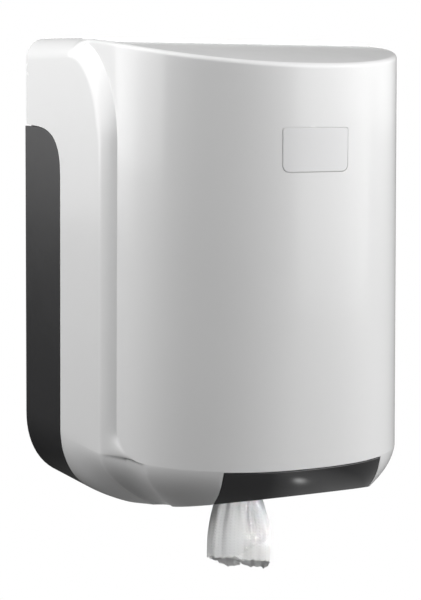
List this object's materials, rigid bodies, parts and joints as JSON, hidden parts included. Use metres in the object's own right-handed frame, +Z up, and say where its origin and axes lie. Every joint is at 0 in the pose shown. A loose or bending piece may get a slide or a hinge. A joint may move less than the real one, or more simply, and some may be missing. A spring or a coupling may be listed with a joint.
{
  "type": "paper towel dispenser",
  "caption": "Wall-mounted centre-pull paper towel dispenser: glossy white lift-up cover on a dark housing, roll on a tray, and a towel pulled down through a nozzle.",
  "frame": {"origin": "middle of the flat wall face of the housing: on the centre plane, in the wall plane, half-way up the casing", "axes": "+Z up, the wall is the plane Y = 0 with the wall on the +Y side, the front faces -Y, and +X is to the viewer's right"},
  "size_m": [0.239, 0.2677, 0.4175],
  "materials": {
    "back_housing": "satin charcoal moulded plastic",
    "blank_plate": "smooth pale grey plate",
    "cam_screw": "plated steel",
    "cover_shell": "glossy white moulded plastic",
    "front_lip": "glossy charcoal moulded plastic",
    "guide_screw_1": "plated steel",
    "guide_screw_2": "plated steel",
    "guide_screw_3": "plated steel",
    "guide_screw_4": "plated steel",
    "hinge_bracket_left": "satin grey moulded plastic",
    "hinge_bracket_right": "satin grey moulded plastic",
    "hinge_pin_left": "plated steel",
    "hinge_pin_right": "plated steel",
    "hinge_screw_1": "plated steel",
    "hinge_screw_2": "plated steel",
    "hinge_screw_3": "plated steel",
    "hinge_screw_4": "plated steel",
    "lock_body": "zinc die casting",
    "lock_cam": "zinc die casting",
    "lock_nut": "zinc die casting",
    "lock_plug": "plated steel",
    "nozzle": "satin charcoal moulded plastic",
    "nozzle_ring": "satin grey moulded plastic",
    "paper_roll": "embossed tissue paper",
    "roll_guide_lower": "satin grey moulded plastic",
    "roll_guide_upper": "satin grey moulded plastic",
    "roll_tray": "satin grey moulded plastic",
    "towel_tail": "embossed tissue paper",
    "tray_screw_1": "plated steel",
    "tray_screw_2": "plated steel",
    "tray_screw_3": "plated steel",
    "tray_screw_4": "plated steel",
    "underside_pan": "satin charcoal moulded plastic"
  },
  "bodies": {
    "casing": {"back_housing": "back_housing", "front_lip": "front_lip", "guide_screw_1": "guide_screw_1", "guide_screw_2": "guide_screw_2", "guide_screw_3": "guide_screw_3", "guide_screw_4": "guide_screw_4", "hinge_bracket_left": "hinge_bracket_left", "hinge_bracket_right": "hinge_bracket_right", "hinge_pin_left": "hinge_pin_left", "hinge_pin_right": "hinge_pin_right", "hinge_screw_1": "hinge_screw_1", "hinge_screw_2": "hinge_screw_2", "hinge_screw_3": "hinge_screw_3", "hinge_screw_4": "hinge_screw_4", "lock_body": "lock_body", "lock_nut": "lock_nut", "roll_guide_lower": "roll_guide_lower", "roll_guide_upper": "roll_guide_upper", "roll_tray": "roll_tray", "tray_screw_1": "tray_screw_1", "tray_screw_2": "tray_screw_2", "tray_screw_3": "tray_screw_3", "tray_screw_4": "tray_screw_4", "underside_pan": "underside_pan"},
    "cover": {"cover_shell": "cover_shell", "blank_plate": "blank_plate"},
    "lock": {"lock_plug": "lock_plug", "lock_cam": "lock_cam", "cam_screw": "cam_screw"},
    "nozzle": {"nozzle": "nozzle", "nozzle_ring": "nozzle_ring"},
    "roll": {"paper_roll": "paper_roll"},
    "towel": {"towel_tail": "towel_tail"}
  },
  "joints": [
    {"name": "cover_hinge", "type": "hinge", "parent": "casing", "child": "cover", "pos_m": [0, -0.014, 0.1725], "axis": [-1, 0, 0], "range_deg": [0, 90]},
    {"name": "lock_turn", "type": "hinge", "parent": "casing", "child": "lock", "pos_m": [0, -0.215, -0.158], "axis": [0, 0, 1], "range_deg": [0, 90]},
    {"name": "roll_turn", "type": "hinge", "parent": "casing", "child": "roll", "pos_m": [0, -0.149, -0.106], "axis": [0, 0, 1], "continuous": true},
    {"name": "nozzle_turn", "type": "hinge", "parent": "casing", "child": "nozzle", "pos_m": [0, -0.149, -0.1066], "axis": [0, 0, 1], "continuous": true},
    {"name": "towel_pull", "type": "slide", "parent": "nozzle", "child": "towel", "axis": [0, 0, -1], "range_m": [0, 0.075]}
  ]
}
